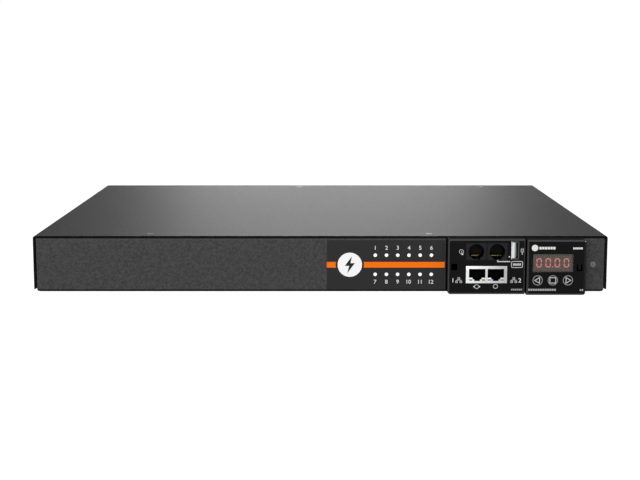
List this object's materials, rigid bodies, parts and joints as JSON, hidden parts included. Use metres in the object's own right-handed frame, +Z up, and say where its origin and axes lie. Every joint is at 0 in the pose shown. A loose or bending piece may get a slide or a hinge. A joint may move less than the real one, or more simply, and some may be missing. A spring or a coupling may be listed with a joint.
{
  "type": "rack power distribution unit",
  "caption": "Flat rack-mount power distribution unit: folded steel case, plug-in network and display modules in front, upright appliance outlets and a power inlet behind.",
  "frame": {"origin": "middle of the flat underside of the case, midway between its front and back edges", "axes": "+X to the right seen from the front, along the longest side; +Y from the front to the back; +Z up, across the thinnest side"},
  "size_m": [0.442, 0.389, 0.0435],
  "materials": {
    "case_paint": "dark grey powder coat, fine texture",
    "cover_paint": "dark grey powder coat, fine texture",
    "screw_steel": "bright zinc",
    "rivet_steel": "satin",
    "nut_steel": "zinc plated",
    "label_film": "smooth matt film",
    "orange_print": "printed film",
    "white_print": "printed film",
    "lamp_lens": "milky clear",
    "board_green": "glass-fibre board with solder mask",
    "led_white": "small lamps",
    "nylon": "natural nylon",
    "module_moulding": "fine moulded texture",
    "shield_metal": "bright tin plate",
    "jack_plastic": "black moulding",
    "contact_gold": "gold plate",
    "lamp_window": "small lens",
    "tongue_white": "smooth",
    "smoked_window": "smoked plastic",
    "digit_body": "smooth",
    "digit_red": "lit red bars",
    "key_plastic": "satin",
    "switch_plastic": "satin",
    "ribbon_grey": "ribbed flat cable",
    "socket_plastic": "black moulding",
    "pin_brass": "nickel plated",
    "relay_plastic": "smooth",
    "transformer_core": "varnished laminations",
    "line_brown": "brown insulation",
    "neutral_blue": "blue insulation",
    "earth_green": "green and yellow insulation"
  },
  "bodies": {
    "case": {"chassis_base": "case_paint", "top_cover": "cover_paint", "cover_screws": "screw_steel", "inlet_screws": "screw_steel", "panel_rivet": "rivet_steel", "ear_mount_nuts": "nut_steel", "status_overlay": "label_film", "comms_overlay": "label_film", "display_overlay": "label_film", "stripe_print": "orange_print", "badge_disc": "white_print", "light_pipes": "lamp_lens", "status_board": "board_green", "comms_board": "board_green", "port_board": "board_green", "display_board": "board_green", "power_board": "board_green", "status_leds": "led_white", "board_posts": "nylon", "comms_bezel": "module_moulding", "display_bezel": "module_moulding", "comms_housing": "module_moulding", "display_housing": "module_moulding", "network_jack_shield": "shield_metal", "usb_shell": "shield_metal", "network_jack_insert": "jack_plastic", "sensor_jack": "jack_plastic", "serial_jack": "jack_plastic", "network_jack_contacts": "contact_gold", "phone_jack_contacts": "contact_gold", "network_jack_lamps": "lamp_window", "usb_tongue": "tongue_white", "display_window": "smoked_window", "digit_block": "digit_body", "digit_segments": "digit_red", "key_switches": "switch_plastic", "module_ribbon": "ribbon_grey", "power_inlet": "socket_plastic", "outlet_01": "socket_plastic", "outlet_02": "socket_plastic", "outlet_03": "socket_plastic", "outlet_04": "socket_plastic", "outlet_05": "socket_plastic", "outlet_06": "socket_plastic", "outlet_07": "socket_plastic", "outlet_08": "socket_plastic", "outlet_09": "socket_plastic", "outlet_10": "socket_plastic", "outlet_11": "socket_plastic", "outlet_12": "socket_plastic", "inlet_pins": "pin_brass", "outlet_contacts": "pin_brass", "relays": "relay_plastic", "supply_transformer": "transformer_core", "line_lead": "line_brown", "neutral_lead": "neutral_blue", "earth_lead": "earth_green"},
    "left_key": {"left_key": "key_plastic"},
    "select_key": {"select_key": "key_plastic"},
    "right_key": {"right_key": "key_plastic"}
  },
  "joints": [
    {"name": "left_key_press", "type": "slide", "parent": "case", "child": "left_key", "axis": [0, 1, 0], "range_m": [0, 0.0008], "stiffness_N_per_m": 1500, "springref_m": -0.0004},
    {"name": "select_key_press", "type": "slide", "parent": "case", "child": "select_key", "axis": [0, 1, 0], "range_m": [0, 0.0008], "stiffness_N_per_m": 1500, "springref_m": -0.0004},
    {"name": "right_key_press", "type": "slide", "parent": "case", "child": "right_key", "axis": [0, 1, 0], "range_m": [0, 0.0008], "stiffness_N_per_m": 1500, "springref_m": -0.0004}
  ]
}
